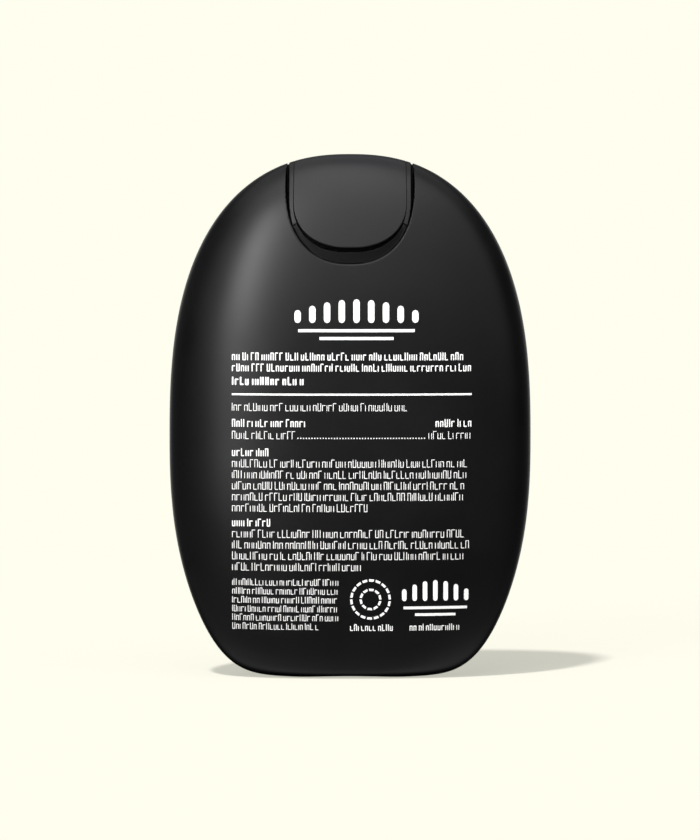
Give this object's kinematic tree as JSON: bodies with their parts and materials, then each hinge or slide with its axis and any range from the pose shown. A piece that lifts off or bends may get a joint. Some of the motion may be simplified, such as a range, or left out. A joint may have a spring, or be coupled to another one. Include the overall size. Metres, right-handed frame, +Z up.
{
  "type": "flip-top fluid bottle",
  "caption": "Flat black pebble-shaped bottle for a thin fluid, with a flip-top closure let into its crown, an orifice plug and a loose mixing ball.",
  "frame": {"origin": "centre of the bottle's footprint, on the surface that it stands on", "axes": "+Z up along the bottle, +X to the right seen from the front, the front with the finger scoop faces -Y and the hinge is at +Y"},
  "size_m": [0.0624, 0.021, 0.09],
  "materials": {
    "bottle_body": "blow-moulded black polyethylene, satin",
    "closure": "injection-moulded black polypropylene, satin",
    "lid": "injection-moulded black polypropylene, satin",
    "orifice_plug": "natural low-density polyethylene",
    "mixing_ball": "polished stainless steel"
  },
  "bodies": {
    "bottle": {"bottle_body": "bottle_body", "orifice_plug": "orifice_plug", "closure_base": "closure", "film_hinge": "closure", "snap_strap": "closure"},
    "lid": {"flip_lid": "lid"},
    "ball": {"mixing_ball": "mixing_ball"}
  },
  "joints": [
    {"name": "lid_hinge", "type": "hinge", "parent": "bottle", "child": "lid", "pos_m": [0, 0.00696, 0.082], "axis": [-1, 0, 0], "range_deg": [0, 140], "deforming": ["film_hinge", "snap_strap"]},
    {"name": "ball_travel", "type": "slide", "parent": "bottle", "child": "ball", "axis": [0, 0, 1], "range_m": [0, 0.0645]}
  ]
}
